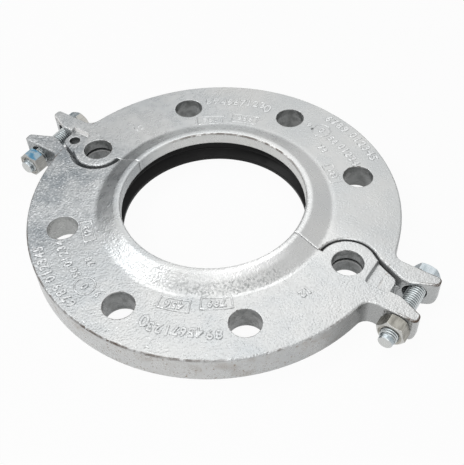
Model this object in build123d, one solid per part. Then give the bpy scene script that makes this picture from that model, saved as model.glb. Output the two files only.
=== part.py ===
from build123d import *

import os
from math import acos, atan2, cos, hypot, isclose, radians, sin, sqrt, tan

# Split flange for a grooved steel pipe: two cast halves that lap at each side, a rubber gasket
# held in the pocket behind the key, and two closure bolts with nuts that draw the halves together.
# Millimetres. +Z points from the mating face towards the pipe, along the pipe's axis. The origin is
# on that axis in the plane of the mating face. +X runs through the two lapped stud holes.

# Pipe groove and the key that sits in it
groove_diameter = 110.1
key_clearance = 0.15
key_width = 7.5

# Plate and its studs
flange_diameter = 222.0
plate_thickness = 17.5
stud_circle_diameter = 180.0
stud_hole_diameter = 18.2
stud_hole_land = 5.0
stud_hole_mouth_diameter = 21.0
stud_count = 8

# Raised hub round the pipe
hub_height = 5.5
hub_top_width = 3.8
hub_base_diameter = 141.0
hub_top_rounding = 2.0
hub_base_rounding = 6.0

# Pocket behind the key, and the gasket in it
pocket_diameter = 132.0
gasket_clearance = 0.2
gasket_lip_diameter = 112.0
gasket_lip_height = 2.6
gasket_ridge_diameter = 114.8
gasket_ridge_height = 9.8
gasket_shoulder_diameter = 120.5
gasket_cavity_diameter = 123.0
gasket_cavity_height = 6.0

# Lap at each side: the upper leaf of one half lies over the lower leaf of the other
halves_gap = 0.2
upper_leaf = 7.0
leaf_gap = 1.4
lap_radius = 17.7
lap_bend_length = 13.4
lap_bend_side = 12.2
lap_overhang = 9.0
front_lap_gap = 1.4
back_lap_gap = 2.7
leaf_overhang = 6.6
leaf_corner = 4.0

# Step sunk into the end of each upper leaf
step_depth = 2.8
step_length = 13.4
front_step_side = 6.4
back_step_side = 8.0
step_corner = 2.0
step_draft = 18.0
pin_hole_diameter = 7.0
pin_hole_depth = 3.0
pin_hole_inset = 6.4
pin_hole_offset = 0.8

# Lugs that the closure bolts pass through
lug_length = 27.8
lug_outer_side = 17.0
lug_inner_side = 5.3
lug_taper_length = 14.3
lug_tip_inner_side = 11.5
lug_tip_rounding = 2.5
lug_root_rounding = 7.0
lug_foot_rounding = 4.5

# Closure bolts and nuts, which lie off the middle of their holes and turned as they were left
closure_hole_inset = 11.4
closure_hole_diameter = 13.0
right_bolt_shift = (0.9, 0.0)
left_bolt_shift = (1.1, -0.25)
right_head_turn = -4.0
left_head_turn = 18.0
right_nut_turn = -11.0
left_nut_turn = -14.0
left_nut_gap = 2.9
bolt_diameter = 10.0
bolt_length = 48.2
head_height = 6.4
head_across_flats = 15.0
nut_height = 8.4
nut_across_flats = 15.0
nut_clearance = 0.05
hex_crown = 0.52
hex_chamfer_angle = 30.0

# Broken edge that the casting has round its top face
edge_chamfer = 0.7

key_radius = groove_diameter / 2 + key_clearance
hub_top = plate_thickness + hub_height
key_underside = hub_top - key_width
leaf_centre = stud_circle_diameter / 2
rim = flange_diameter / 2
lap_bend_reach = leaf_centre + lap_bend_length
lap_end_reach = rim + lap_overhang
leaf_reach = rim + leaf_overhang
step_start = leaf_reach - step_length
pin_hole_reach = leaf_reach - pin_hole_inset
lug_reach = rim + lug_length
lug_taper_start = lug_reach - lug_taper_length
closure_reach = lug_reach - closure_hole_inset
lower_leaf = plate_thickness - upper_leaf - leaf_gap
closure_height = plate_thickness / 2
section_plane = Plane.XZ


def section(*points):
    """Closed face through points given as radius and height."""
    return section_plane * make_face(Polyline(*points, close=True))


def round_corner(face, radius, height, rounding):
    """Round the corner of a section that lies at the given radius and height."""
    place = Vector(radius, 0, height)
    corner = min(face.vertices(), key=lambda vertex: (Vector(vertex) - place).length)
    return fillet(corner, rounding)


def lug_plan():
    """Plan of the lug at the right on the -Y side, run on into the plate."""
    outline = Polyline(
        (leaf_centre, -lug_inner_side),
        (lug_taper_start, -lug_inner_side),
        (lug_reach, -lug_tip_inner_side),
        (lug_reach, -lug_outer_side),
        (leaf_centre, -lug_outer_side),
        close=True,
    )
    lug = make_face(outline)
    return fillet(lug.vertices().sort_by(Axis.X)[-2:], lug_tip_rounding)


def plate():
    """Plate of both halves in one, with its four lugs."""
    lug = lug_plan()
    pair = [lug, mirror(lug, about=Plane.XZ)]
    plan = Circle(rim) + pair + [mirror(one, about=Plane.YZ) for one in pair]
    on_rim = [corner for corner in plan.vertices() if isclose(hypot(corner.X, corner.Y), rim)]
    roots = [corner for corner in on_rim if abs(corner.Y) > (lug_inner_side + lug_outer_side) / 2]
    plan = fillet(roots, lug_root_rounding)
    side_view = Plane.XZ * Pos(0, plate_thickness / 2) * Rectangle(2 * lug_reach, plate_thickness)
    side_view = fillet(side_view.vertices().group_by(Axis.Z)[0], lug_foot_rounding)
    return extrude(plan, plate_thickness) & extrude(side_view, flange_diameter, both=True)


def flange_blank():
    """Both halves in one: plate, hub, key and the pocket behind the key."""
    hub = section(
        (key_radius, key_underside),
        (key_radius, hub_top - edge_chamfer),
        (key_radius + edge_chamfer, hub_top),
        (key_radius + hub_top_width, hub_top),
        (hub_base_diameter / 2, plate_thickness),
        (hub_base_diameter / 2 + hub_base_rounding, plate_thickness),
        (hub_base_diameter / 2 + hub_base_rounding, key_underside),
    )
    hub = round_corner(hub, key_radius + hub_top_width, hub_top, hub_top_rounding)
    hub = round_corner(hub, hub_base_diameter / 2, plate_thickness, hub_base_rounding)
    bore = extrude(Circle(key_radius), hub_top)
    pocket = extrude(Circle(pocket_diameter / 2), key_underside)
    return plate() + revolve(hub, Axis.Z) - bore - pocket


def lap_plan():
    """Plan of the space for a leaf on the +Y side at the right: round the stud, then out to the lug."""
    across, up = lap_bend_reach - leaf_centre, lap_bend_side
    turn = atan2(up, across) + acos(lap_radius / hypot(across, up))
    touch = (leaf_centre + lap_radius * cos(turn), lap_radius * sin(turn))
    inner_end = (leaf_centre - lap_radius, 0)
    arc = ThreePointArc(inner_end, (leaf_centre, lap_radius), touch)
    sides = Polyline(
        touch,
        (lap_bend_reach, lap_bend_side),
        (lap_end_reach, lug_inner_side),
        (lap_end_reach, -lug_outer_side),
        (leaf_centre - lap_radius, -lug_outer_side),
        inner_end,
    )
    return make_face(arc.edges() + sides.edges())


def leaf_plan(lap_gap):
    """Plan of the leaf itself, held back from the edge of its space and rounded at its end."""
    plan = offset(lap_plan(), -lap_gap)
    plan &= Pos(leaf_reach / 2, 0) * Rectangle(leaf_reach, flange_diameter)
    tip = plan.vertices().group_by(Axis.X)[-1].sort_by(Axis.Y)[-1]
    return fillet(tip, leaf_corner)


def step_cut(side):
    """Drafted cut that sinks the end of the upper leaf at the right, down to y = -side."""
    width = leaf_reach - step_start
    floor = Pos(step_start + width, (lap_radius - side) / 2) * Rectangle(2 * width, lap_radius + side)
    floor = fillet(floor.vertices().group_by(Axis.X)[0].sort_by(Axis.Y)[0], step_corner)
    cut = Pos(0, 0, plate_thickness - step_depth) * extrude(floor, 2 * step_depth, taper=-step_draft)
    return split(cut, bisect_by=Plane.YZ.offset(leaf_reach), keep=Keep.BOTTOM)


def stud_holes():
    """Holes on the stud circle: straight in the laps, and flared to the mating face elsewhere."""
    places = PolarLocations(leaf_centre, stud_count).locations
    straight = Cylinder(stud_hole_diameter / 2, 3 * plate_thickness)
    flare = Cone(
        stud_hole_mouth_diameter / 2,
        stud_hole_diameter / 2,
        plate_thickness - stud_hole_land,
        align=(Align.CENTER, Align.CENTER, Align.MIN),
    )
    plain = [place for place in places if abs(place.position.Y) > stud_hole_diameter]
    return [place * straight for place in places] + [place * flare for place in plain]


def break_edges(body):
    """Chamfer the edges of the top face, but not those on the joint or at the smooth toe of the hub."""
    top = body.edges().filter_by_position(Axis.Z, plate_thickness, plate_thickness)
    joint = top.filter_by(GeomType.LINE).filter_by_position(Axis.Y, -halves_gap, halves_gap)
    arcs = top.filter_by(GeomType.CIRCLE)
    toe = arcs.filter_by(lambda arc: arc.arc_center.length < halves_gap and arc.radius < leaf_centre)
    return chamfer([edge for edge in top if edge not in joint + toe], edge_chamfer)


def half(lap_gap, step_side):
    """Casting on the -Y side, with its upper leaf at the right and its lower leaf at the left."""
    body = split(flange_blank(), bisect_by=Plane.XZ.offset(halves_gap / 2), keep=Keep.TOP)
    space = lap_plan()
    upper_floor = plate_thickness - upper_leaf
    body -= extrude(mirror(space, about=Plane.XZ), upper_floor)
    body -= Pos(0, 0, lower_leaf) * extrude(Rot(0, 0, 180) * space, plate_thickness)
    plan = leaf_plan(lap_gap)
    body += Pos(0, 0, upper_floor) * extrude(plan, upper_leaf)
    body += extrude(mirror(plan, about=Plane.YZ), lower_leaf)
    body = break_edges(body) - stud_holes() - step_cut(step_side)
    closure_hole = Rot(90, 0, 0) * Cylinder(closure_hole_diameter / 2, flange_diameter)
    return body - [Pos(side * closure_reach, 0, closure_height) * closure_hole for side in (-1, 1)]


def back_half():
    """The front half's shape turned about, with the blind pin hole in the step of its leaf."""
    pin_hole = Cylinder(pin_hole_diameter / 2, pin_hole_depth, align=(Align.CENTER, Align.CENTER, Align.MAX))
    floor = plate_thickness - step_depth
    body = half(back_lap_gap, back_step_side) - Pos(pin_hole_reach, -pin_hole_offset, floor) * pin_hole
    return Rot(0, 0, 180) * body


def gasket():
    """Rubber ring with a ridge towards the pipe and a lip on the mating face, apart by a groove."""
    outer = pocket_diameter / 2 - gasket_clearance
    top = key_underside - gasket_clearance
    ring = section(
        (gasket_lip_diameter / 2, 0),
        (outer, 0),
        (outer, top),
        (gasket_shoulder_diameter / 2, top),
        (gasket_ridge_diameter / 2, gasket_ridge_height),
        (gasket_cavity_diameter / 2, gasket_cavity_height),
        (gasket_lip_diameter / 2, gasket_lip_height),
    )
    return revolve(ring, Axis.Z)


def hexagon(across_flats, height):
    """Hexagon that stands on z = 0 with two flats facing +Y and -Y, its top corners turned down."""
    corner = across_flats / sqrt(3)
    crown = across_flats * hex_crown
    drop = (corner - crown) * tan(radians(hex_chamfer_angle))
    prism = extrude(RegularPolygon(across_flats / 2, 6, major_radius=False), height)
    turned = section((0, 0), (corner, 0), (corner, height - drop), (crown, height), (0, height))
    return prism & revolve(turned, Axis.Z)


def bolt():
    """Hexagon bolt with its shank up +Z from the bearing face at z = 0."""
    shank = extrude(Circle(bolt_diameter / 2), bolt_length)
    return shank + Rot(180, 0, 0) * hexagon(head_across_flats, head_height)


def nut():
    """Hexagon nut that stands on z = 0."""
    bore = extrude(Circle(bolt_diameter / 2 + nut_clearance), nut_height)
    return hexagon(nut_across_flats, nut_height) - bore


def on_lugs(side, shift, bearing, turn):
    """Place on a pair of lugs, with +Z of the piece to -Y from y = bearing, turned about the bolt."""
    across, up = shift
    place = Pos(side * closure_reach + across, bearing, closure_height + up)
    return place * Rot(90, 0, 0) * Rot(0, 0, turn)


nodes = {
    "front_half": half(front_lap_gap, front_step_side),
    "back_half": back_half(),
    "gasket": gasket(),
    "right_bolt": on_lugs(1, right_bolt_shift, lug_outer_side, right_head_turn) * bolt(),
    "left_bolt": on_lugs(-1, left_bolt_shift, lug_outer_side, left_head_turn) * bolt(),
    "right_nut": on_lugs(1, right_bolt_shift, -lug_outer_side, right_nut_turn) * nut(),
    "left_nut": on_lugs(-1, left_bolt_shift, -lug_outer_side - left_nut_gap, left_nut_turn) * nut(),
}

os.makedirs("parts", exist_ok=True)
for name, shape in nodes.items():
    export_step(shape, f"parts/{name}.step")
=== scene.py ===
# %% [markdown]
# # A split flange for a grooved pipe
#
# The object is a ring of galvanised cast iron in two halves. Each half laps over the other at both
# sides, and two bolts draw them together round the groove of a pipe, with a rubber gasket inside.
# The shapes of the castings come from the CAD model. This lesson gives them their zinc skin, and
# makes what the CAD model keeps plain: the gasket's lips, the threads, the nuts and the cast marks.
# The front half lies towards -Y, the right side towards +X, and the pipe stands along Z.

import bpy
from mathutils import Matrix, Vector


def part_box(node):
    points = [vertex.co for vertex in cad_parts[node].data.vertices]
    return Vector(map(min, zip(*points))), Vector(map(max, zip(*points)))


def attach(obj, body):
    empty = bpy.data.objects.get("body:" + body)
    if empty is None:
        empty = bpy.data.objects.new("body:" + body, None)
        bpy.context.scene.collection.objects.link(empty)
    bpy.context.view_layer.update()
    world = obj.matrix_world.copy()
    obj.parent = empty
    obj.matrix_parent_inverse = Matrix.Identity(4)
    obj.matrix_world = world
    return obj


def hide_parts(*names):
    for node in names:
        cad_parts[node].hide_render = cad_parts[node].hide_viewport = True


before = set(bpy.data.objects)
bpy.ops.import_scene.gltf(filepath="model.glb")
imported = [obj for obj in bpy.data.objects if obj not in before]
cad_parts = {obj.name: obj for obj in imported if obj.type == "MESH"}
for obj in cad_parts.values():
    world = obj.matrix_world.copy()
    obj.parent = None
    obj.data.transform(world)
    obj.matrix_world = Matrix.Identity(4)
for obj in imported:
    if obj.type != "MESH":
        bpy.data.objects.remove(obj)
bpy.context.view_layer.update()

# %% [markdown]
# ## Small tools
#
# Every material and every Geometry Nodes tree below is built from nodes. A few helpers keep that
# short. The first adds any node and fills its inputs: an input is either a plain value or the
# output of an earlier node, which is then linked. The others stand on it. Written out node by node
# in the editor, the same trees would be too large to follow.

# %% Helpers for nodes
from math import cos, pi, radians, sin, tan
from types import SimpleNamespace

import bmesh
import bpy
from mathutils import Matrix, Vector

MM = 0.001


def add(tree, kind, inputs=None, **settings):
    """Adds a node. inputs maps a socket's name or number to a value or to another node's output."""
    made = tree.nodes.new(kind)
    for name, value in settings.items():
        setattr(made, name, value)
    for key, value in (inputs or {}).items():
        if isinstance(value, bpy.types.NodeSocket):
            tree.links.new(value, made.inputs[key])
        else:
            made.inputs[key].default_value = value
    return made


def math(tree, operation, *values, clamp=False):
    """Adds a Math node and returns its output."""
    inputs = dict(enumerate(values))
    return add(tree, "ShaderNodeMath", inputs, operation=operation, use_clamp=clamp).outputs[0]


def product(tree, first, *others):
    """Multiplies any number of values."""
    for other in others:
        first = math(tree, "MULTIPLY", first, other)
    return first


def largest(tree, first, *others):
    """The largest of any number of values."""
    for other in others:
        first = math(tree, "MAXIMUM", first, other)
    return first


def ramp(tree, value, start, end):
    """Goes smoothly from 0 at start to 1 at end. start may be the larger one."""
    inputs = {"Value": value, "From Min": start, "From Max": end}
    return add(tree, "ShaderNodeMapRange", inputs, interpolation_type="SMOOTHSTEP").outputs[0]


def near(tree, value, middle, outer, inner):
    """1 where the value is within inner of the middle, and 0 where it is further off than outer."""
    return ramp(tree, math(tree, "ABSOLUTE", math(tree, "SUBTRACT", value, middle)), outer, inner)


def xyz(tree, vector):
    """The X, Y and Z of a vector."""
    return add(tree, "ShaderNodeSeparateXYZ", {0: vector}).outputs


def distance(tree, first, second):
    """The distance between two points."""
    return add(tree, "ShaderNodeVectorMath", {0: first, 1: second}, operation="DISTANCE").outputs["Value"]


def true_normal(tree):
    """The direction in which the flat facet itself faces."""
    return add(tree, "ShaderNodeNewGeometry").outputs["True Normal"]


def link(name, data):
    """Puts a mesh, a camera or a lamp in the scene as an object at the origin."""
    made = bpy.data.objects.new(name, data)
    bpy.context.scene.collection.objects.link(made)
    return made


print("helpers for nodes ready")

# %% [markdown]
# A material needs a few more: noise for whatever is cloudy or spotted, tints that lie over each
# other in thin layers, and a relief that only tilts the light. Zinc, rust and rubber are all made of
# those three.

# %% Helpers for materials
def noise(tree, place, size, detail=2.0, roughness=0.5):
    """Cloudy noise whose features are about size metres across."""
    inputs = {"Vector": place, "Scale": 1 / size, "Detail": detail, "Roughness": roughness}
    return add(tree, "ShaderNodeTexNoise", inputs).outputs["Fac"]


def mix(tree, factor, first, second):
    """Blends two colours. A colour is red, green and blue, or another node's output."""
    first, second = (c if isinstance(c, bpy.types.NodeSocket) else (*c, 1) for c in (first, second))
    return add(tree, "ShaderNodeMix", {0: factor, 6: first, 7: second}, data_type="RGBA").outputs[2]


def painted(tree, colour, layers):
    """Lays tints over a colour, one after another. Each layer is its share and its tint."""
    for share, tint in layers:
        colour = mix(tree, share, colour, tint)
    return colour


def emboss(tree, shader, relief, **normal):
    """Lets a relief, given in metres, tilt the light on a surface."""
    bump = add(tree, "ShaderNodeBump", {"Strength": 1.0, "Distance": 1.0, "Height": relief, **normal})
    tree.links.new(bump.outputs[0], shader.inputs["Normal"])


def new_material(name):
    """A material with its tree, its Principled shader and the place of each point on the object."""
    made = bpy.data.materials.new(name)
    made.use_nodes = True
    tree = made.node_tree
    place = add(tree, "ShaderNodeTexCoord").outputs["Object"]
    return made, tree, tree.nodes["Principled BSDF"], place


print("helpers for materials ready")

# %% [markdown]
# ## Camera
#
# The photograph looks down on the flange from the right of its front, at about 48 degrees. The
# camera is set by the point it aims at, its direction, its small tilt and its distance, and its
# lens gives the field of view that the round rim and the bolt circle ask for.

# %% Make the camera
AIM = Vector((16.54, -5.623, 4.815)) * MM
AZIMUTH, ELEVATION, TILT = radians(35.678), radians(48.253), radians(-3.115)
DISTANCE = 453.95 * MM
LENS = 58.783  # millimetres
NEAREST_SEEN = 10 * MM

backwards = Vector((sin(AZIMUTH) * cos(ELEVATION), -cos(AZIMUTH) * cos(ELEVATION), sin(ELEVATION)))
rightwards = Vector((cos(AZIMUTH), sin(AZIMUTH), 0))
axes = Matrix((rightwards, backwards.cross(rightwards), backwards)).transposed()
turn = axes @ Matrix.Rotation(TILT, 3, "Z")
camera = link("camera", bpy.data.cameras.new("camera"))
camera.matrix_world = Matrix.Translation(AIM + DISTANCE * backwards) @ turn.to_4x4()
camera.data.lens = LENS
camera.data.clip_start = NEAREST_SEEN
bpy.context.scene.camera = camera
print("camera at", [round(v, 3) for v in camera.location])

# %% [markdown]
# ## Studio
#
# A cut-out picture of a metal part is usually taken on a white sweep between soft lamps. The floor
# here is pale and takes the object's shadow, and what the camera and the metal see of it is lifted
# to white with Light Path. The sky does the same: it is seen white, but gives little light.

# %% Floor and sky
SKY_LIGHT = 0.05
FLOOR_SHADOW_KEPT = 0.05
FLOOR_REACH = 4  # metres from the middle to each side
FLOOR_HEIGHT = -0.05 * MM


def seen_directly(tree):
    """1 for what the camera sees, straight or in gloss or through glass, and 0 for other light."""
    rays = add(tree, "ShaderNodeLightPath").outputs
    gloss_or_glass = math(tree, "ADD", rays["Is Glossy Ray"], rays["Is Transmission Ray"])
    return math(tree, "ADD", rays["Is Camera Ray"], gloss_or_glass, clamp=True)


def floor_material():
    """Pale matt floor that shows white but keeps a soft shadow."""
    made = bpy.data.materials.new("studio_floor")
    made.use_nodes = True
    tree = made.node_tree
    tree.nodes.remove(tree.nodes["Principled BSDF"])
    matt = add(tree, "ShaderNodeBsdfDiffuse", {"Color": (0.86, 0.86, 0.86, 1)})
    white = add(tree, "ShaderNodeEmission", {"Color": (1, 1, 1, 1), "Strength": 1.0})
    share = math(tree, "MULTIPLY", seen_directly(tree), 1 - FLOOR_SHADOW_KEPT)
    both = add(tree, "ShaderNodeMixShader", {0: share, 1: matt.outputs[0], 2: white.outputs[0]})
    tree.links.new(both.outputs[0], tree.nodes["Material Output"].inputs["Surface"])
    return made


def sky():
    """Even white surroundings, dimmer as a source of light than as what is seen."""
    world = bpy.data.worlds.new("studio_sky")
    world.use_nodes = True
    tree = world.node_tree
    strength = math(tree, "MULTIPLY_ADD", seen_directly(tree), 1 - SKY_LIGHT, SKY_LIGHT)
    tree.links.new(strength, tree.nodes["Background"].inputs["Strength"])
    tree.nodes["Background"].inputs["Color"].default_value = (1, 1, 1, 1)
    bpy.context.scene.world = world


floor_mesh = bpy.data.meshes.new("floor")
floor_corners = [(x * FLOOR_REACH, y * FLOOR_REACH, 0) for x, y in ((-1, -1), (1, -1), (1, 1), (-1, 1))]
floor_mesh.from_pydata(floor_corners, [], [(0, 1, 2, 3)])
floor_mesh.materials.append(floor_material())
floor = link("floor", floor_mesh)
floor.location.z = FLOOR_HEIGHT
sky()
bpy.context.scene.view_settings.view_transform = "Standard"
print("floor and sky ready, sky light", SKY_LIGHT)

# %% [markdown]
# Six soft lamps light the metal. The left lamp is the strongest and gives the bright band on the
# hub, and the small hub lamp carries that band on towards the front. The others lift the top face,
# the outer wall, the right side and the back. Metal shows what stands round it, so a dark card at
# the left darkens the plate and the hub there. The camera itself can't see lamps or card.

# %% Lamps and a dark card
LAMPS = {  # place and width in metres, power in watts
    "top_lamp": ((-0.26, 0.26, 0.90), 0.7, 1.62),
    "front_lamp": ((0.24, -0.42, 0.42), 0.4, 1.0),
    "right_lamp": ((0.30, -0.10, 0.70), 0.4, 0.12),
    "left_lamp": ((-0.56, -0.27, 0.78), 0.40, 2.3),
    "back_lamp": ((-0.20, 0.65, 0.62), 0.5, 0.6),
    "hub_lamp": ((0.03, -0.13, 0.91), 0.3, 0.45),
}
CARD_DIRECTION = radians(165)
CARD_DISTANCE, CARD_HALF_WIDTH, CARD_HEIGHT = 1.0, 0.53, 0.45


def softbox(name, place, width, power):
    """A square area lamp that faces the middle of the flange."""
    lamp = bpy.data.lights.new(name, "AREA")
    lamp.shape, lamp.size, lamp.energy = "SQUARE", width, power
    made = link(name, lamp)
    made.location, made.visible_camera = place, False
    made.rotation_euler = Vector(place).to_track_quat("Z", "Y").to_euler()


def dark_card(direction):
    """A dark card that stands upright at one side."""
    material = bpy.data.materials.new("dark_card")
    material.use_nodes = True
    material.node_tree.nodes["Principled BSDF"].inputs["Base Color"].default_value = (0.02, 0.02, 0.022, 1)
    away, across = Vector((cos(direction), sin(direction), 0)), Vector((-sin(direction), cos(direction), 0))
    feet = [CARD_DISTANCE * away + side * CARD_HALF_WIDTH * across for side in (-1, 1)]
    heads = [foot + Vector((0, 0, CARD_HEIGHT)) for foot in feet]
    mesh = bpy.data.meshes.new("dark_card")
    mesh.from_pydata(feet + heads, [], [(0, 1, 3, 2)])
    mesh.materials.append(material)
    made = link("dark_card", mesh)
    made.visible_camera = False


for name, (place, width, power) in LAMPS.items():
    softbox(name, place, width, power)
dark_card(CARD_DIRECTION)
print("lamps:", ", ".join(LAMPS))

# %% [markdown]
# ## Galvanised skin
#
# The halves are cast in sand and dipped in molten zinc. The zinc leaves a bright grey skin with a
# fine grain like orange peel, and cloudy patches where it cooled at another rate. An image could
# carry all that, but each half would first have to be laid out flat. Nodes that follow the place on
# the object need no layout, and both halves can share one material.
#
# The skin is made of shares and layers. A share is a number from 0 to 1 that says how much of a
# layer lies at a point. The first ones are for the parts of the casting: each tells from the
# point's X, Y, height and distance to the pipe's axis, all in millimetres, where it is.

# %% Shares for the parts of the casting
RIM_RADIUS = 111  # in mm, as all the sizes and places of the skin
PLATE_TOP = 17.5


def spot_at(tree, place):
    """A point in millimetres, with its x, its y, its height z and its distance from the pipe's axis."""
    point = add(tree, "ShaderNodeVectorMath", {0: place, "Scale": 1 / MM}, operation="SCALE").outputs[0]
    x, y, z = xyz(tree, point)
    square = math(tree, "MULTIPLY_ADD", x, x, math(tree, "MULTIPLY", y, y))
    return SimpleNamespace(point=point, x=x, y=y, z=z, radius=math(tree, "SQRT", square))


def on_hub(tree, spot):
    """1 on the cone of the hub."""
    return product(tree, ramp(tree, spot.radius, 74, 69), ramp(tree, spot.z, 16, 17))


def on_front_left(tree, spot):
    """Rises to 1 at the left end of the front half."""
    return product(tree, ramp(tree, spot.x, -10, -100), ramp(tree, spot.y, 30, -14))


def on_back_right(tree, spot):
    """Rises to 1 at the right of the back half."""
    across = ramp(tree, math(tree, "MULTIPLY_ADD", spot.y, 1.3, spot.x), 20, 100)
    return product(tree, across, ramp(tree, spot.y, 5, 30))


def on_round_wall(tree, spot):
    """1 on the round outer wall, below its upper rim."""
    below_rim = ramp(tree, spot.z, PLATE_TOP - 0.6, PLATE_TOP - 1.6)
    return product(tree, near(tree, spot.radius, RIM_RADIUS, 0.9, 0.2), below_rim)


def on_lug_root(tree, spot):
    """Up to 0.85 on the wall where it turns out into the right lug of the front half, for painted shade
    there.
    """
    nearness = ramp(tree, spot.x, 92, 109)
    along_lug = math(tree, "MULTIPLY_ADD", ramp(tree, spot.x, 109, 113), -0.6, 0.85)
    outside = product(tree, ramp(tree, spot.radius, 110.2, 110.8), ramp(tree, spot.y, -6, -12))
    below_rim = ramp(tree, spot.z, PLATE_TOP - 0.4, PLATE_TOP - 1.4)
    return product(tree, nearness, nearness, along_lug, ramp(tree, spot.x, 127, 119), outside, below_rim)


print("shares ready for the hub, the plate and the outer wall")

# %% [markdown]
# The eight stud holes lie at equal angles on a circle. Snapping a point's angle to the nearest of
# them gives its distance to that hole's middle, so one rule serves all eight. Two of them pass
# through the laps. The left step has a blind hole, darkened as painted shade, and a back wall that
# carries a painted glint.

# %% Shares for the holes and the left step
STUD_CIRCLE_RADIUS = 90
STUD_HOLE_REACH = 11.2
STEP_FLOOR = 14.7
BLIND_HOLE = (-111.2, 0.8, 0.0)
BLIND_HOLE_RADIUS = 3.5


def in_stud_holes(tree, spot):
    """1 on the walls of the eight stud holes, by the law of cosines for the nearest hole's middle."""
    angle = math(tree, "ARCTAN2", spot.y, spot.x)
    nearest = math(tree, "SNAP", math(tree, "ADD", angle, pi / 8), pi / 4)
    towards = math(tree, "COSINE", math(tree, "SUBTRACT", angle, nearest))
    beyond = math(tree, "SUBTRACT", spot.radius, math(tree, "MULTIPLY", towards, 2 * STUD_CIRCLE_RADIUS))
    square = math(tree, "MULTIPLY_ADD", spot.radius, beyond, STUD_CIRCLE_RADIUS ** 2)
    below_top = ramp(tree, spot.z, PLATE_TOP - 0.2, PLATE_TOP - 1.2)
    inside = ramp(tree, math(tree, "SQRT", square), STUD_HOLE_REACH, STUD_HOLE_REACH - 0.3)
    return product(tree, inside, below_top)


def in_lapped_holes(tree, spot, holes):
    """1 on the walls of the two stud holes that pass through both leaves."""
    return product(tree, holes, near(tree, spot.y, 0.0, 12, 10))


def in_blind_hole(tree, spot):
    """1 in the blind hole of the left step, which is darkened as painted shade."""
    on_floor = add(tree, "ShaderNodeCombineXYZ", {0: spot.x, 1: spot.y}).outputs[0]
    from_middle = distance(tree, on_floor, BLIND_HOLE)
    inside = ramp(tree, from_middle, BLIND_HOLE_RADIUS + 0.25, BLIND_HOLE_RADIUS + 0.1)
    return product(tree, inside, ramp(tree, spot.z, STEP_FLOOR - 0.1, STEP_FLOOR - 0.8))


def on_painted_glint_wall(tree, spot):
    """1 on the back wall of the left step, where a painted glint makes it near white."""
    facing_front = ramp(tree, xyz(tree, true_normal(tree))["Y"], -0.4, -0.7)
    along = product(tree, ramp(tree, spot.x, -103, -105), facing_front)
    deep = product(tree, ramp(tree, spot.y, 6.0, 7.0), ramp(tree, spot.y, 11.8, 11.2))
    return product(tree, along, deep, ramp(tree, spot.z, 13.5, 14.5))


print("shares ready for the holes and the left step")

# %% [markdown]
# ## Rust, painted shade and edges
#
# Where the castings have knocked together, rust-brown chips show along the sharp rims. At the front
# they nearly join to a line, at the tips of the right lugs they cover the rim, and at the back a
# broken line follows the inner edge of the hub. Narrow gaps and inside corners, which the Ambient
# Occlusion node finds, are darkened as painted shade. The Bevel node rounds the light on edges, and
# an edge is where that rounded direction leaves the flat one, so no chip has to be painted by hand.

# %% Shares for rust, painted shade and edges
HUB_TOP = 23.0
HUB_RIM_RADIUS = 55.5
LUG_TIPS = [(137.7, 15.5, PLATE_TOP), (137.5, -14.0, PLATE_TOP)]


def on_edges(tree, rounded):
    """1 on sharp outer edges, where the rounded normal leaves the flat one."""
    inputs = {0: rounded, 1: true_normal(tree)}
    likeness = add(tree, "ShaderNodeVectorMath", inputs, operation="DOT_PRODUCT").outputs["Value"]
    return ramp(tree, likeness, 0.995, 0.96)


def chips(tree, place, spot, edges):
    """1 in the rust-brown chips along the upper rims of the plate and the lugs."""
    edges = largest(tree, edges, near(tree, spot.radius, RIM_RADIUS - 0.35, 0.5, 0.2))
    not_on_marks = ramp(tree, spot.z, PLATE_TOP + 0.06, PLATE_TOP + 0.01)
    upper = product(tree, ramp(tree, spot.z, PLATE_TOP - 1.8, PLATE_TOP - 1.0), not_on_marks)
    clusters = ramp(tree, noise(tree, place, 22 * MM), 0.48, 0.6)
    spots = ramp(tree, noise(tree, place, 1.6 * MM, detail=3), 0.5, 0.58)
    forwards = math(tree, "MULTIPLY_ADD", spot.x, -0.12, math(tree, "MULTIPLY", spot.y, -0.99))
    line = product(tree, ramp(tree, forwards, 65, 100), broken(tree, place), 0.7)
    fewer_at_right = math(tree, "MULTIPLY_ADD", ramp(tree, spot.x, 70, 100), -0.65, 1.0)
    share = product(tree, largest(tree, product(tree, clusters, spots), line), fewer_at_right)

    knocked = ramp(tree, noise(tree, place, 4 * MM, detail=5, roughness=0.7), 0.32, 0.46)
    from_tips = math(tree, "MINIMUM", *(distance(tree, spot.point, tip) for tip in LUG_TIPS))
    share = largest(tree, share, product(tree, ramp(tree, from_tips, 14, 8), knocked))
    below_top = product(tree, upper, ramp(tree, spot.z, PLATE_TOP - 0.05, PLATE_TOP - 0.25))
    tip_patch = product(tree, ramp(tree, from_tips, 6.5, 3.5), knocked, below_top)
    return largest(tree, product(tree, edges, upper, share), tip_patch)


def broken(tree, place):
    """Breaks a line into runs of a few millimetres."""
    return ramp(tree, noise(tree, place, 7 * MM, detail=6, roughness=0.7), 0.38, 0.56)


def on_hub_rim(tree, place, spot):
    """The broken line of rust on the inner edge of the hub, at the back."""
    at_top = ramp(tree, spot.z, HUB_TOP - 1.1, HUB_TOP - 0.7)
    rim = product(tree, near(tree, spot.radius, HUB_RIM_RADIUS, 0.65, 0.3), at_top)
    at_back = product(tree, ramp(tree, spot.y, 15, 40), ramp(tree, spot.x, 45, 20))
    return product(tree, rim, at_back, broken(tree, place), 0.72)


def stains(tree, place):
    """Faint brown stains and specks."""
    specks = ramp(tree, noise(tree, place, 1.3 * MM, detail=3), 0.60, 0.70)
    clouds = ramp(tree, noise(tree, place, 9 * MM, detail=4), 0.5, 0.75)
    return largest(tree, specks, product(tree, clouds, 0.35))


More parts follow.
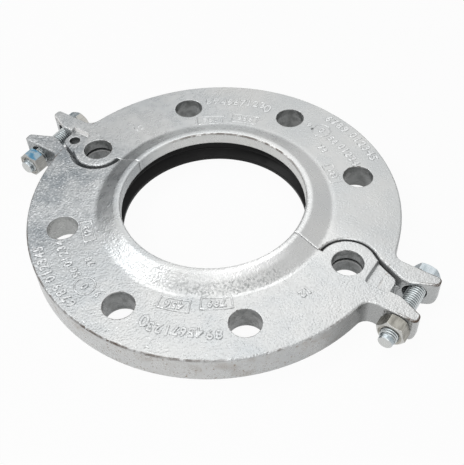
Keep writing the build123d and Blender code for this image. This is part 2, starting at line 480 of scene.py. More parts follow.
def in_crevice(tree, reach):
    """Rises to 1 in narrow gaps and inside corners, where painted shade darkens them."""
    open_share = add(tree, "ShaderNodeAmbientOcclusion", {"Distance": reach}, samples=8).outputs["AO"]
    return ramp(tree, open_share, 0.5, 0.08)


print("shares ready for rust, dirt and edges")

# %% [markdown]
# ## Layers of the skin
#
# Now the layers, from the base upwards, as (share, tint) in their order. On the plate, dark patches
# lie at the front left, partly the zinc's own patchy tone and partly painted shade, with painted
# glints and dark flecks, and the back right is even. The hub is paler at the right and the back
# left, as painted light. At the front right a painted highlight runs as a bright ridge near its top,
# with dark speckle below it as painted shade.

# %% Layers of the plate and the hub
HUB_FOOT_RADIUS = 71.6


def base_layers(tree, place, spot):
    """Dark patches at the front left, partly patchy tone and partly painted shade, and an even grey at the
    back right, off the hub.
    """
    patches = patchy(tree, place)
    off_lug = math(tree, "MULTIPLY_ADD", ramp(tree, spot.x, -112, -120), -0.35, 1.0)
    uneven = math(tree, "MULTIPLY_ADD", patches, 0.78, 0.08)
    return [
        # partly painted shade: the front left of the plate is darker
        (product(tree, on_front_left(tree, spot), off_lug, uneven), (0.17, 0.20, 0.225)),
        (product(tree, calm(tree, spot), 0.35), (0.32, 0.32, 0.31)),
    ]


def patchy(tree, place):
    """Large patches with ragged borders."""
    return ramp(tree, noise(tree, place, 20 * MM, detail=6, roughness=0.62), 0.40, 0.60)


def off_hub(tree, spot):
    """1 everywhere but on the hub."""
    return math(tree, "SUBTRACT", 1.0, on_hub(tree, spot))


def calm(tree, spot):
    """1 on the even part of the plate, at the back right."""
    return product(tree, on_back_right(tree, spot), off_hub(tree, spot))


def hub_layers(tree, place, spot):
    """Painted light on the hub: paler sides, a painted highlight along the ridge, and painted shade as dark
    speckle at its foot.
    """
    hub = on_hub(tree, spot)
    right = product(tree, hub, ramp(tree, spot.x, -30, 50))
    back_left = product(tree, hub, ramp(tree, spot.x, 0, -30), ramp(tree, spot.y, 0, 14))
    ridge_side = product(tree, ramp(tree, spot.y, -5, -25), ramp(tree, spot.x, 22, 52))
    ridge = product(tree, hub, ramp(tree, spot.radius, 63.5, 61), ridge_side)
    foot_side = product(tree, ramp(tree, spot.y, -15, -35), ramp(tree, spot.x, 0, 30))
    foot = product(tree, hub, ramp(tree, spot.radius, 62.5, 65), foot_side)
    speckle = ramp(tree, noise(tree, place, 1.3 * MM, detail=2), 0.46, 0.62)
    return [
        # painted light: the hub is paler at the right and at the back left
        (product(tree, right, 0.45), (0.72, 0.72, 0.71)),
        (product(tree, back_left, 0.35), (0.70, 0.73, 0.73)),
        # painted highlight along the ridge near the top of the hub
        (product(tree, ridge, 0.7), (0.93, 0.93, 0.93)),
        # painted shade: dark speckle at the foot of the hub
        (product(tree, foot, math(tree, "MULTIPLY_ADD", speckle, 0.55, 0.05)), (0.16, 0.17, 0.17)),
    ]


def fleck_layers(tree, place, spot, blotches):
    """Blotches all over, fewer where it is calm, and at the front left painted glints as light flecks and
    painted shade as dark flecks.
    """
    blotch_strength = math(tree, "MULTIPLY_ADD", calm(tree, spot), -0.2, 0.3)
    flecks = noise(tree, place, 1.3 * MM, detail=3)
    at_left = product(tree, on_front_left(tree, spot), off_hub(tree, spot))
    return [
        (product(tree, blotches, blotch_strength), (0.58, 0.59, 0.59)),
        # painted glints, and the painted shade between them
        (product(tree, ramp(tree, flecks, 0.54, 0.66), at_left, 0.45), (0.88, 0.89, 0.90)),
        (product(tree, ramp(tree, flecks, 0.46, 0.34), at_left, 0.4), (0.12, 0.14, 0.155)),
    ]


def toe_layer(tree, place, spot):
    """A painted highlight along the crease at the foot of the hub, at the front."""
    at_front = product(tree, ramp(tree, spot.y, 0, -25), ramp(tree, spot.x, -30, 0))
    uneven = math(tree, "MULTIPLY_ADD", patchy(tree, place), 0.4, 0.12)
    crease = near(tree, spot.radius, HUB_FOOT_RADIUS, 1.3, 0.3)
    return product(tree, crease, at_front, uneven), (0.90, 0.91, 0.91)


print("plate and hub have their layers")

# %% [markdown]
# The walls come next: the key's wall inside the bore, paler at the back as painted light, the round
# outer wall with its stains and painted light at the front, painted shade at the root of one lug,
# and the walls of the stud holes, darkened as painted shade. Two of those pass through both
# castings, and there a painted highlight on a lip and a painted shadow mark the gap between the leaves.

# %% Layers of the walls and the holes
KEY_RADIUS = 55.2
LEAF_GAP_HEIGHT = 9.8
LIP_HEIGHT = LEAF_GAP_HEIGHT - 1.6
PIT = (18.0, 88.0, PLATE_TOP)


def wall_layers(tree, place, spot, wall):
    """Painted light on the key's wall at the back and on the outer wall at the front, the outer wall's
    stains, and painted shade at the lug's root.
    """
    near_key = ramp(tree, spot.radius, KEY_RADIUS + 1.0, KEY_RADIUS + 0.2)
    key_wall = product(tree, near_key, ramp(tree, spot.y, 0, 35))
    return [
        # painted light on the key's wall at the back
        (product(tree, key_wall, 0.7), (0.76, 0.76, 0.74)),
        # painted light on the outer wall at the front
        (product(tree, wall, ramp(tree, spot.y, -55, -95), 0.5), (0.74, 0.74, 0.73)),
        (product(tree, wall, stains(tree, place)), (0.27, 0.21, 0.16)),
        # painted shade at the root of the right lug
        (on_lug_root(tree, spot), (0.08, 0.085, 0.082)),
    ]


def hole_layers(tree, place, spot, holes):
    """Walls darkened as painted shade, paler where they face the left lamp as painted light, and a painted
    highlight on the lip of the lower leaf.
    """
    lit = ramp(tree, math(tree, "ADD", spot.x, spot.y), -85, -130)
    mottle = ramp(tree, noise(tree, place, 4 * MM, detail=4), 0.35, 0.7)
    dark = math(tree, "SUBTRACT", math(tree, "MULTIPLY_ADD", mottle, 0.45, 0.45), product(tree, lit, 0.7))
    lip = product(tree, in_lapped_holes(tree, spot, holes), near(tree, spot.z, LIP_HEIGHT, 0.5, 0.2))
    return [
        # painted light where the walls face the left lamp
        (product(tree, holes, lit), (0.66, 0.67, 0.66)),
        # painted shade in the holes
        (product(tree, holes, dark), (0.15, 0.158, 0.154)),
        # painted highlight on the lip of the lower leaf
        (product(tree, lip, 0.6), (0.66, 0.66, 0.65)),
    ]


def raised_strokes(tree, spot):
    """The share of a painted highlight on the tops of the cast marks, most of it at the front left."""
    above_plate = ramp(tree, spot.z, PLATE_TOP + 0.1, PLATE_TOP + 0.4)
    raised = product(tree, above_plate, ramp(tree, spot.radius, 72.5, 73))
    at_left = math(tree, "MULTIPLY_ADD", on_front_left(tree, spot), 0.5, 0.08)
    return product(tree, raised, math(tree, "MULTIPLY_ADD", calm(tree, spot), 0.25, at_left))


def dark_places(tree, spot, holes, painted_glint):
    """Rises to 1 where painted shade darkens gaps, corners, the blind hole and the gap between the leaves,
    and in the pit.
    """
    crevice = product(tree, in_crevice(tree, 4 * MM), math(tree, "SUBTRACT", 1.0, painted_glint))
    pit = ramp(tree, distance(tree, spot.point, PIT), 1.25, 0.6)
    at_gap = near(tree, spot.z, LEAF_GAP_HEIGHT, 1.3, 0.9)
    leaf_gap = product(tree, in_lapped_holes(tree, spot, holes), at_gap)
    return largest(tree, crevice, pit, in_blind_hole(tree, spot), leaf_gap)


print("walls and holes have their layers")

# %% [markdown]
# The grain of the skin is a relief: fine grain and longer waves, both stronger towards the front,
# where the light rakes over it, and weaker on the hub and the outer wall. Then all is put together.
# Rust, the painted shade and the painted glint are not metallic, and rust is the roughest.

# %% Put the skin together
def grain_relief(tree, place, spot, wall):
    """Height of the skin's grain and waves, in metres."""
    coarse = math(tree, "MULTIPLY_ADD", ramp(tree, spot.y, 45, -40), 0.25 * MM, 0.11 * MM)
    on_hub_less = math(tree, "MULTIPLY_ADD", on_hub(tree, spot), -0.3, 1.0)
    on_wall_less = math(tree, "MULTIPLY_ADD", wall, -0.6, 1.0)
    grain = product(tree, noise(tree, place, 1.15 * MM, detail=1), coarse, on_hub_less, on_wall_less)
    swell = math(tree, "MULTIPLY_ADD", ramp(tree, spot.y, 60, -20), 0.17 * MM, 0.08 * MM)
    return math(tree, "MULTIPLY_ADD", noise(tree, place, 6 * MM, detail=2), swell, grain)


def tilted_up(tree, normal, share):
    """Turns a normal upwards by a share, so that an upright wall catches the light from above."""
    upward = add(tree, "ShaderNodeCombineXYZ", {2: math(tree, "MULTIPLY", share, 1.4)}).outputs[0]
    both = add(tree, "ShaderNodeVectorMath", {0: normal, 1: upward}, operation="ADD").outputs[0]
    return add(tree, "ShaderNodeVectorMath", {0: both}, operation="NORMALIZE").outputs[0]


def galvanised():
    """Zinc skin of the castings."""
    made, tree, shader, place = new_material("galvanised_cast_iron")
    spot = spot_at(tree, place)
    wall, holes, painted_glint = on_round_wall(tree, spot), in_stud_holes(tree, spot), on_painted_glint_wall(tree, spot)
    softness = math(tree, "MULTIPLY_ADD", on_hub(tree, spot), 1.8 * MM, 0.7 * MM)
    rounded = add(tree, "ShaderNodeBevel", {"Radius": softness}, samples=8).outputs[0]
    emboss(tree, shader, grain_relief(tree, place, spot, wall), Normal=tilted_up(tree, rounded, painted_glint))

    clouds = ramp(tree, noise(tree, place, 40 * MM, detail=6, roughness=0.6), 0.35, 0.68)
    blotches = ramp(tree, noise(tree, place, 5 * MM, detail=3), 0.35, 0.7)
    edges = on_edges(tree, rounded)
    rust = largest(tree, chips(tree, place, spot, edges), on_hub_rim(tree, place, spot))
    dark = dark_places(tree, spot, holes, painted_glint)
    colour = painted(tree, mix(tree, clouds, (0.46, 0.48, 0.49), (0.55, 0.555, 0.55)), [
        *base_layers(tree, place, spot),
        *hub_layers(tree, place, spot),
        *fleck_layers(tree, place, spot, blotches),
        # painted highlight at the foot of the hub
        toe_layer(tree, place, spot),
        *wall_layers(tree, place, spot, wall),
        *hole_layers(tree, place, spot, holes),
        # painted glint on the back wall of the left step
        (painted_glint, (0.99, 0.99, 0.98)),
        # painted highlight: a lighter line along sharp edges
        (product(tree, edges, 0.35), (0.85, 0.86, 0.86)),
        # painted highlight on the tops of the cast marks
        (raised_strokes(tree, spot), (0.90, 0.91, 0.92)),
        (rust, (0.10, 0.062, 0.04)),
        # painted shade: gaps, corners, the blind hole and the gap between the leaves, and the pit
        (product(tree, dark, 0.85), (0.05, 0.055, 0.055)),
    ])
    tree.links.new(colour, shader.inputs["Base Color"])

    covered = largest(tree, rust, dark, painted_glint, product(tree, holes, 0.6))
    tree.links.new(product(tree, math(tree, "SUBTRACT", 1.0, covered), 0.6), shader.inputs["Metallic"])
    sheen = math(tree, "MULTIPLY_ADD", blotches, 0.08, 0.26)
    tree.links.new(math(tree, "MULTIPLY_ADD", rust, 0.35, sheen), shader.inputs["Roughness"])
    return made


zinc_skin = galvanised()
for name in ("front_half", "back_half"):
    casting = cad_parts[name]
    casting.data.materials.clear()
    casting.data.materials.append(zinc_skin)
print("nodes in the skin:", len(zinc_skin.node_tree.nodes))

# %% [markdown]
# ## Gasket
#
# The gasket is moulded rubber. Its outside fills the pocket behind the key, a ridge points to the
# pipe and a lip lies on the mating face, with a groove between them. It is the same all round, so
# it is a profile turned about the pipe's axis, with each corner of the profile cut to a small arc
# as a mould leaves it.

# %% Turn the gasket
GASKET = [  # radius, height and rounding of each corner, in mm
    (56.0, 0.0, 0.5), (65.8, 0.0, 0.3), (65.8, 15.3, 0.5), (60.25, 15.3, 0.8),
    (57.4, 9.8, 0.7), (61.5, 6.0, 0.8), (56.0, 2.6, 0.7),
]
GASKET_SEGMENTS = 160


def rounded_profile(corners, steps=4):
    """Closed outline of (radius, height, rounding) corners, in mm, with each corner made an arc."""
    outline = []
    for i, (r, z, rounding) in enumerate(corners):
        here = Vector((r, z))
        before = (Vector(corners[i - 1][:2]) - here).normalized()
        after = (Vector(corners[(i + 1) % len(corners)][:2]) - here).normalized()
        half = before.angle(after) / 2
        centre = here + (before + after).normalized() * rounding / sin(half)
        start = here + before * rounding / tan(half) - centre
        end = here + after * rounding / tan(half) - centre
        sweep = start.angle_signed(end)
        for k in range(steps + 1):
            outline.append(centre + Matrix.Rotation(-sweep * k / steps, 2) @ start)
    return outline


def turned(name, outline, segments):
    """Mesh of a closed outline turned about the Z axis."""
    count = len(outline)
    points = []
    for k in range(segments):
        angle = 2 * pi * k / segments
        points += [(p.x * MM * cos(angle), p.x * MM * sin(angle), p.y * MM) for p in outline]
    faces = []
    for k in range(segments):
        for i in range(count):
            a, b = k * count, (k + 1) % segments * count
            faces.append((a + i, b + i, b + (i + 1) % count, a + (i + 1) % count))
    mesh = bpy.data.meshes.new(name)
    mesh.from_pydata(points, [], faces)
    mesh.shade_smooth()
    return mesh


gasket = link("rubber_gasket", turned("rubber_gasket", rounded_profile(GASKET), GASKET_SEGMENTS))
print("gasket faces:", len(gasket.data.polygons))

# %% [markdown]
# Rubber is nearly black with a dull gloss. A little bloom, the dusty film that comes out of
# moulded rubber, makes patches of it paler and rougher.

# %% Rubber material
def rubber():
    """Moulded black rubber."""
    made, tree, shader, place = new_material("moulded_rubber")
    bloom = ramp(tree, noise(tree, place, 12 * MM, detail=4), 0.5, 0.8)
    colour = mix(tree, bloom, (0.006, 0.006, 0.006), (0.014, 0.014, 0.0145))
    tree.links.new(colour, shader.inputs["Base Color"])
    tree.links.new(math(tree, "MULTIPLY_ADD", bloom, 0.2, 0.42), shader.inputs["Roughness"])
    shader.inputs["Specular IOR Level"].default_value = 0.18
    emboss(tree, shader, math(tree, "MULTIPLY", noise(tree, place, 0.8 * MM), 0.02 * MM))
    return made


gasket.data.materials.append(rubber())
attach(gasket, "root")
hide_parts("gasket")
print("gasket dressed")

# %% [markdown]
# ## Plated bolts and nuts
#
# The bolts are bright zinc with a blue cast, and the nuts are a little warmer. Both have drawn,
# slightly smeared surfaces, so noise stretched along the bolt changes their gloss, and a fine
# Bevel rounds the corners of the hexagons. A thread gets a painted highlight on its crests and
# painted shade in its valleys, both told by the distance from the bolt's axis. The turned corners
# of the hexagons are painted lighter, inside corners darker as painted shade, and on the left bolt
# and nut the facets that face +X are lighter as painted light. The left nut carries a smudge of
# blue marking paint.

# %% Plating materials
BOLT_MIDDLES = [sum(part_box(name), Vector()) / 2 for name in ("right_bolt", "left_bolt")]
POINT_LENGTH = 2.6 * MM
THREAD_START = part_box("right_bolt")[0].y + POINT_LENGTH


def from_bolt_axis(tree, x, z):
    """Distance in metres from the axis of the nearer bolt."""
    here = add(tree, "ShaderNodeCombineXYZ", {0: x, 2: z}).outputs[0]
    distances = (distance(tree, here, (middle.x, 0, middle.z)) for middle in BOLT_MIDDLES)
    return math(tree, "MINIMUM", *distances)


def on_left_bolt(tree, x):
    """1 on the left bolt and nut."""
    return ramp(tree, x, -100 * MM, -110 * MM)


def turned_layers(tree, y, from_axis, endwise):
    """Painted highlights on the turned corners of the hexagons and the thread's crests, painted shade in
    the thread's valleys and inside corners, and the end faces.
    """
    corner = product(tree, ramp(tree, endwise, 0.6, 0.75), ramp(tree, endwise, 0.97, 0.92))
    threaded = product(tree, ramp(tree, from_axis, 5.04 * MM, 5.01 * MM),
                       ramp(tree, y, THREAD_START - 0.1 * MM, THREAD_START + 0.1 * MM))
    crest, valley = ramp(tree, from_axis, 4.6 * MM, 4.85 * MM), ramp(tree, from_axis, 4.6 * MM, 4.3 * MM)
    end_face = product(tree, ramp(tree, endwise, 0.97, 0.99), ramp(tree, from_axis, 4.9 * MM, 4.8 * MM))
    return [
        # painted highlight on the turned corners
        (product(tree, corner, 0.7), (0.66, 0.665, 0.65)),
        # painted highlight on the thread's crests
        (product(tree, threaded, crest, 0.55), (0.80, 0.86, 0.88)),
        # painted shade in the thread's valleys
        (product(tree, threaded, valley, 0.65), (0.07, 0.10, 0.11)),
        (product(tree, end_face, 0.8), (0.66, 0.66, 0.64)),
        # painted shade in inside corners
        (product(tree, in_crevice(tree, 1.2 * MM), 0.8), (0.04, 0.045, 0.05)),
    ]


def paint_layer(tree, place, x, upward):
    """A smudge of blue marking paint on the upper facet of the left nut."""
    on_facet = product(tree, on_left_bolt(tree, x), ramp(tree, upward, 0.86, 0.93))
    worn = ramp(tree, noise(tree, place, 5 * MM, detail=4), 0.30, 0.42)
    thin = ramp(tree, noise(tree, place, 4 * MM), 0.35, 0.65)
    return product(tree, on_facet, worn), mix(tree, thin, (0.04, 0.20, 0.34), (0.28, 0.38, 0.44))


def plating(name, dark, light, metallic, gloss, marked=False):
    """Electroplated steel between two colours, with painted shade in its corners."""
    made, tree, shader, place = new_material(name)
    drawn = add(tree, "ShaderNodeMapping", {"Vector": place, "Scale": (1, 0.25, 1)}).outputs[0]
    smears = ramp(tree, noise(tree, drawn, 2.5 * MM, detail=4), 0.3, 0.7)
    x, y, z = xyz(tree, place)
    sideways, endwise, upward = xyz(tree, true_normal(tree))
    from_axis = from_bolt_axis(tree, x, z)
    scuff_and_side_light = product(tree, on_left_bolt(tree, x), ramp(tree, from_axis, 5.1 * MM, 5.3 * MM))
    colour = painted(tree, mix(tree, smears, dark, light), [
        *turned_layers(tree, y, from_axis, math(tree, "ABSOLUTE", endwise)),
        # painted light: facets of the left bolt and nut that face +X are lighter
        (product(tree, scuff_and_side_light, ramp(tree, sideways, 0.5, 0.7)), (0.80, 0.78, 0.73)),
        *([paint_layer(tree, place, x, upward)] if marked else []),
    ])
    tree.links.new(colour, shader.inputs["Base Color"])
    tree.links.new(math(tree, "MULTIPLY_ADD", scuff_and_side_light, -0.6, metallic), shader.inputs["Metallic"])
    tree.links.new(math(tree, "MULTIPLY_ADD", smears, 0.12, gloss), shader.inputs["Roughness"])
    rounded = add(tree, "ShaderNodeBevel", {"Radius": 0.3 * MM}, samples=6).outputs[0]
    emboss(tree, shader, math(tree, "MULTIPLY", noise(tree, drawn, 0.7 * MM), 0.012 * MM), Normal=rounded)
    return made


blue_zinc = plating("blue_zinc_plating", (0.34, 0.40, 0.43), (0.58, 0.63, 0.66), 0.8, 0.24)
warm_zinc = plating("warm_zinc_plating", (0.25, 0.24, 0.215), (0.47, 0.46, 0.415), 0.85, 0.22, marked=True)
print("plating materials:", blue_zinc.name, warm_zinc.name)

# %% [markdown]
# ## The thread
#
# A screw thread repeats along the bolt, so Geometry Nodes make it. The tree starts from a plain
# cylinder with many rings. Set Position then moves each point in or out by a wave that runs along
# the bolt and shifts by one pitch for each full turn, which is what makes it a helix. Near the end
# the points stay under a cone, as on a real bolt whose end is turned off.

# %% Geometry Nodes tree of the thread
ROD_SIDES = 40
RINGS_PER_PITCH = 8.0


def thread_tree():
    """Threaded rod that stands on the origin, with its sizes as inputs."""
    tree = bpy.data.node_groups.new("threaded_rod", "GeometryNodeTree")
    tree.interface.new_socket("Geometry", in_out="OUTPUT", socket_type="NodeSocketGeometry")
    for name in ("Length", "Radius", "Pitch", "Depth", "Point Length", "Point Radius", "Chamfer"):
        tree.interface.new_socket(name, in_out="INPUT", socket_type="NodeSocketFloat")
    tree.interface.new_socket("Material", in_out="INPUT", socket_type="NodeSocketMaterial")
    size = add(tree, "NodeGroupInput").outputs

    rings = math(tree, "MULTIPLY", math(tree, "DIVIDE", size["Length"], size["Pitch"]), RINGS_PER_PITCH)
    rod = add(tree, "GeometryNodeMeshCylinder", {
        "Vertices": ROD_SIDES, "Side Segments": rings, "Radius": size["Radius"], "Depth": size["Length"]})
    x, y, z = xyz(tree, add(tree, "GeometryNodeInputPosition").outputs[0])
    along = math(tree, "MULTIPLY_ADD", size["Length"], 0.5, z)
    turns = math(tree, "DIVIDE", math(tree, "ARCTAN2", y, x), 2 * pi)
    phase = math(tree, "FRACT", math(tree, "SUBTRACT", math(tree, "DIVIDE", along, size["Pitch"]), turns))
    flank = math(tree, "MULTIPLY", math(tree, "ABSOLUTE", math(tree, "SUBTRACT", phase, 0.5)), 2.0)
    crest = math(tree, "MULTIPLY_ADD", flank, 1.35, -0.2, clamp=True)
    cut = math(tree, "MULTIPLY", size["Depth"], math(tree, "SUBTRACT", 1.0, crest))
    radius = math(tree, "SUBTRACT", size["Radius"], cut)
    to_end = math(tree, "SUBTRACT", size["Length"], along)
    past_point = math(tree, "MAXIMUM", math(tree, "SUBTRACT", to_end, size["Point Length"]), 0.0)
    cone = math(tree, "ADD", past_point, size["Point Radius"])
    end_cone = math(tree, "ADD", to_end, math(tree, "SUBTRACT", size["Point Radius"], size["Chamfer"]))
    limit = math(tree, "MINIMUM", cone, end_cone)
    share = math(tree, "DIVIDE", math(tree, "MINIMUM", radius, limit), size["Radius"])
    in_place = add(tree, "ShaderNodeCombineXYZ", {
        0: math(tree, "MULTIPLY", x, share), 1: math(tree, "MULTIPLY", y, share), 2: along})
    finish_tree(tree, rod.outputs["Mesh"], in_place.outputs[0], size["Material"])
    return tree


def finish_tree(tree, geometry, position, material):
    """Moves the points, makes the result real, gives it its material and hands it out."""
    moved = add(tree, "GeometryNodeSetPosition", {"Geometry": geometry, "Position": position})
    real = add(tree, "GeometryNodeRealizeInstances", {0: moved.outputs[0]})
    coated = add(tree, "GeometryNodeSetMaterial", {"Geometry": real.outputs[0], "Material": material})
    tree.links.new(coated.outputs[0], add(tree, "NodeGroupOutput").inputs[0])


def applied(holder):
    """Mesh of an object with its modifiers applied, or of a curve. The object itself goes."""
    bpy.context.view_layer.update()
    mesh = bpy.data.meshes.new_from_object(holder.evaluated_get(bpy.context.evaluated_depsgraph_get()))
    bpy.data.objects.remove(holder)
    return mesh


def grown(name, tree, base=None, **sizes):
    """Mesh that a Geometry Nodes tree gives for these inputs, from nothing or from a base mesh."""
    holder = link(name, base or bpy.data.meshes.new(name))
    modifier = holder.modifiers.new(name, "NODES")
    modifier.node_group = tree
    for item in tree.interface.items_tree:
        if item.in_out == "INPUT" and item.name in sizes:
            modifier[item.identifier] = sizes[item.name]
    mesh = applied(holder)
    mesh.name = name
    return mesh


rod_tree = thread_tree()
print("thread tree:", len(rod_tree.nodes), "nodes")

# %% [markdown]
# ## Hexagons
#
# A bolt head and a nut are hexagons whose corners are turned down to a cone of 30 degrees. Going
# round the hexagon, the distance to the flat is known for each angle, and so is the height at which
# the cone cuts it. So each is a stack of rings: the hole, the flat, the edge of the cone, and the
# wall of the hexagon.

# %% Hexagon with turned corners
HEX_STEPS = 8
ACROSS_FLATS = 15.0  # in mm
CROWN_RADIUS = 0.452 * ACROSS_FLATS
CROWN_SLOPE = tan(radians(30))


def hexagon(name, low, high, hole, sink=0.0):
    """Mesh of a hexagon from low to high, in mm, with flats facing +Y and -Y and a sunk hole."""
    angles = [radians(60) * (k / HEX_STEPS) for k in range(6 * HEX_STEPS)]
    count = len(angles)
    made = bmesh.new()

    def ring(radii, heights):
        corners = zip(angles, radii, heights)
        return [made.verts.new((r * MM * cos(a), r * MM * sin(a), z * MM)) for a, r, z in corners]

    def level(radius, height):
        return ring([radius] * count, [height] * count)

    wall = [ACROSS_FLATS / 2 / cos((a % radians(60)) - radians(30)) for a in angles]
    drop = [max(r - CROWN_RADIUS, 0) * CROWN_SLOPE for r in wall]
    rings = [
        level(hole + sink, high), level(CROWN_RADIUS, high),
        ring(wall, [high - d for d in drop]), ring(wall, [low + d for d in drop]),
        level(CROWN_RADIUS, low), level(hole + sink, low),
        level(hole, low + sink), level(hole, high - sink),
    ]
    for outer, inner in zip(rings, rings[1:] + rings[:1]):
        for i in range(count):
            j = (i + 1) % count
            made.faces.new((outer[i], inner[i], inner[j], outer[j]))
    bmesh.ops.recalc_face_normals(made, faces=made.faces)
    mesh = bpy.data.meshes.new(name)
    made.to_mesh(mesh)
    made.free()
    return mesh


def bolt_place(node, turn):
    """Frame at the bearing side of a closure bolt or nut: its axis runs to -Y, turned as it was left."""
    low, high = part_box(node)
    middle = (low + high) / 2
    to_front = Matrix.Rotation(pi / 2, 4, "X")
    return Matrix.Translation((middle.x, 0, middle.z)) @ to_front @ Matrix.Rotation(turn, 4, "Z")


print("hexagon ready, corners in", HEX_STEPS, "steps")

# %% [markdown]
# Now each bolt is put together from its head and its threaded shank, and set where the CAD bolt
# lies. The nuts follow in the same way, with a countersunk hole. The turns of the heads and the
# nuts are as the photograph has them: no two hexagons stand at the same angle.

# %% Bolts and nuts
THREAD = {"Radius": 5.0 * MM, "Pitch": 1.5 * MM, "Depth": 0.9 * MM, "Point Length": POINT_LENGTH,
          "Point Radius": 4.15 * MM, "Chamfer": 0.45 * MM}
HEAD_HEIGHT = 6.4  # in mm, as the next three
CLOSED_HOLE = 0.001  # so small that joined() merges its ring to one point
NUT_HOLE, COUNTERSINK = 5.1, 0.5
WELD_DISTANCE = 0.002 * MM


def joined(name, meshes):
    """One object out of several meshes that share their materials."""
    whole = bmesh.new()
    for mesh in meshes:
        whole.from_mesh(mesh)
    bmesh.ops.remove_doubles(whole, verts=whole.verts, dist=WELD_DISTANCE)
    bmesh.ops.recalc_face_normals(whole, faces=whole.faces)
    mesh = bpy.data.meshes.new(name)
    whole.to_mesh(mesh)
    whole.free()
    for material in meshes[0].materials:
        mesh.materials.append(material)
    return link(name, mesh)


def make_bolt(node, turn):
    """Hexagon head with its threaded shank, in place of a CAD bolt."""
    low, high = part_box(node)
    bearing = high.y - HEAD_HEIGHT * MM
    head = hexagon(node, -HEAD_HEIGHT, 0.0, CLOSED_HOLE)
    head.materials.append(blue_zinc)
    shank = grown(node + "_thread", rod_tree, Length=bearing - low.y, Material=blue_zinc, **THREAD)
    for mesh in (head, shank):
        mesh.transform(bolt_place(node, turn) @ Matrix.Translation((0, 0, -bearing)))
    return joined(node.replace("bolt", "closure_bolt"), [head, shank])


def make_nut(node, turn):
    """Chamfered nut in place of a CAD nut."""
    low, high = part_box(node)
    mesh = hexagon(node, -high.y / MM, -low.y / MM, NUT_HOLE, COUNTERSINK)
    mesh.materials.append(warm_zinc)
    mesh.transform(bolt_place(node, turn))
    return link(node.replace("nut", "closure_nut"), mesh)


fasteners = {
    "right_bolt": make_bolt("right_bolt", radians(-4)),
    "left_bolt": make_bolt("left_bolt", radians(18)),
    "right_nut": make_nut("right_nut", radians(-11)),
    "left_nut": make_nut("left_nut", radians(-14)),
}
for node, piece in fasteners.items():
    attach(piece, "root")
    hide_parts(node)
    print(node, "faces:", len(piece.data.polygons))

# %% [markdown]
# ## Cast marks
#
# A foundry casts numbers, small frames and a ring into the plate, raised by about half a millimetre
# and softened by the zinc. Here they hold plain numbers only. The strokes of a number are a font
# curve with a rounded edge, and a frame or ring is a round wire, sunk to its middle. Each mark is
# first made flat, along a straight line. A small Geometry Nodes tree then bends that line to an arc
# about the pipe's axis, as the pattern maker laid it out.

# %% Geometry Nodes tree that bends a flat mark to an arc
def bend_tree():
    """Bends a flat mark, whose line runs along X, to an arc about the Z axis, with its top outwards."""
    tree = bpy.data.node_groups.new("mark_on_arc", "GeometryNodeTree")
    for in_out in ("OUTPUT", "INPUT"):
        tree.interface.new_socket("Geometry", in_out=in_out, socket_type="NodeSocketGeometry")
    for name in ("Radius", "Angle", "Height"):
        tree.interface.new_socket(name, in_out="INPUT", socket_type="NodeSocketFloat")
    tree.interface.new_socket("Material", in_out="INPUT", socket_type="NodeSocketMaterial")
    given = add(tree, "NodeGroupInput").outputs
    x, y, z = xyz(tree, add(tree, "GeometryNodeInputPosition").outputs[0])
    angle = math(tree, "SUBTRACT", given["Angle"], math(tree, "DIVIDE", x, given["Radius"]))
    radius = math(tree, "ADD", given["Radius"], y)
    on_arc = add(tree, "ShaderNodeCombineXYZ", {
        0: math(tree, "MULTIPLY", radius, math(tree, "COSINE", angle)),
        1: math(tree, "MULTIPLY", radius, math(tree, "SINE", angle)),
        2: math(tree, "ADD", z, given["Height"])})
    finish_tree(tree, given["Geometry"], on_arc.outputs[0], given["Material"])
    return tree


arc_tree = bend_tree()
print("bend tree:", len(arc_tree.nodes), "nodes")

# %% [markdown]
# The numbers come from Blender's own font, as curves with a depth and a rounded edge. A frame or a
# ring is a closed wire through a few corners. Modelling the strokes by hand would gain nothing at
# this size. Each is made a mesh before it gets its place.

# %% Flat marks
STROKE_HALF_DEPTH, STROKE_ROUNDING = 0.2 * MM, 0.4 * MM
WIRE_RADIUS = 0.55 * MM
TEXT_SIZE_PER_HEIGHT = 1.38
STEPS_PER_SIDE = 4
RING_CORNER_STEP = 40  # degrees


def number(digits, height, spacing=1.25):
    """Plain number of a given height in mm, centred, with rounded strokes."""
    curve = bpy.data.curves.new("number", "FONT")
    curve.body, curve.size, curve.space_character = digits, TEXT_SIZE_PER_HEIGHT * height * MM, spacing
    curve.align_x, curve.align_y = "CENTER", "CENTER"
    curve.extrude, curve.bevel_depth, curve.bevel_resolution = STROKE_HALF_DEPTH, STROKE_ROUNDING, 1
    curve.resolution_u = 4
    return applied(link("flat_mark", curve))


def wire(corners):
    """Closed round wire through corners in mm, each side in short steps so that it can bend."""
    curve = bpy.data.curves.new("wire", "CURVE")
    curve.dimensions, curve.bevel_depth, curve.bevel_resolution = "2D", WIRE_RADIUS, 2
    spline = curve.splines.new("POLY")
    steps = [k / STEPS_PER_SIDE for k in range(STEPS_PER_SIDE)]
    sides = zip(corners, corners[1:] + corners[:1])
    points = [Vector(a).lerp(Vector(b), step) for a, b in sides for step in steps]
    spline.points.add(len(points) - 1)
    for point, place in zip(spline.points, points):
        point.co = (place.x * MM, place.y * MM, 0, 1)
    spline.use_cyclic_u = True
    return applied(link("flat_mark", curve))


def frame_of(width, height):
    """Plain rectangular frame."""
    x, y = width / 2, height / 2
    return wire([(-x, -y), (x, -y), (x, y), (-x, y)])


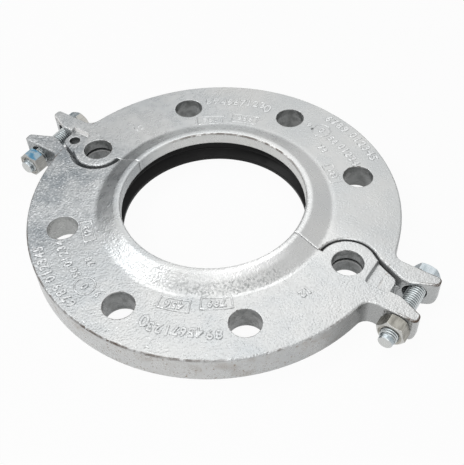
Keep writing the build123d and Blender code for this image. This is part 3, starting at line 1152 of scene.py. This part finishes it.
def ring_of(radius):
    """Plain ring."""
    angles = [radians(a) for a in range(0, 360, RING_CORNER_STEP)]
    return wire([(radius * cos(a), radius * sin(a)) for a in angles])


print("strokes stand", round((STROKE_HALF_DEPTH + STROKE_ROUNDING) / MM, 2), "mm above their middle")

# %% [markdown]
# The list gives each mark with the radius and the angle of its middle. Both halves were cast from
# one pattern, so the back half carries the same marks, turned by half a turn. They lie a little
# deeper there, because the photograph shows them fainter on that half.

# %% Lay out the marks
PLATE_MARKS = [  # flat mark, radius in mm and angle in degrees
    (number("012345", 5.6), 105.2, 239.0), (number("6789", 5.6), 104.6, 253.6),
    (number("01234", 5.0), 92.6, 237.6), (number("56", 4.6), 91.8, 247.8), (number("78", 4.2), 81.5, 246.1),
    (ring_of(6.1), 92.7, 255.0), (number("0", 4.6), 92.7, 255.0), (number("9", 4.0), 91.2, 260.9),
    (frame_of(15.5, 6.6), 76.0, 229.8), (number("123", 3.6), 76.0, 229.8),
    (frame_of(17.0, 7.4), 78.1, 288.7), (number("456", 4.4), 78.1, 288.7),
    (frame_of(16.8, 7.4), 75.4, 305.6), (number("789", 4.2), 75.4, 305.6),
    (number("0", 7.6), 92.0, 281.2), (number("123", 6.0, 1.15), 94.4, 286.7),
    (number("4567", 5.6, 1.1), 93.8, 296.0), (number("89", 5.6), 95.0, 304.6),
    (number("12", 4.4), 85.4, 339.4),
]
MARK_HEIGHT = PLATE_TOP * MM + 0.02 * MM  # clear of the plate's top, so that no faces coincide
BACK_MARKS_SUNK = 0.28 * MM

on_front = [
    grown("mark", arc_tree, flat,
          Radius=radius * MM, Angle=radians(angle), Height=MARK_HEIGHT, Material=zinc_skin)
    for flat, radius, angle in PLATE_MARKS
]
marks = {"front": joined("cast_marks_front", on_front)}
marks["back"] = link("cast_marks_back", marks["front"].data.copy())
marks["back"].data.transform(Matrix.Translation((0, 0, -BACK_MARKS_SUNK)) @ Matrix.Rotation(pi, 4, "Z"))
for piece in marks.values():
    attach(piece, "root")
    print(piece.name, "faces:", len(piece.data.polygons))
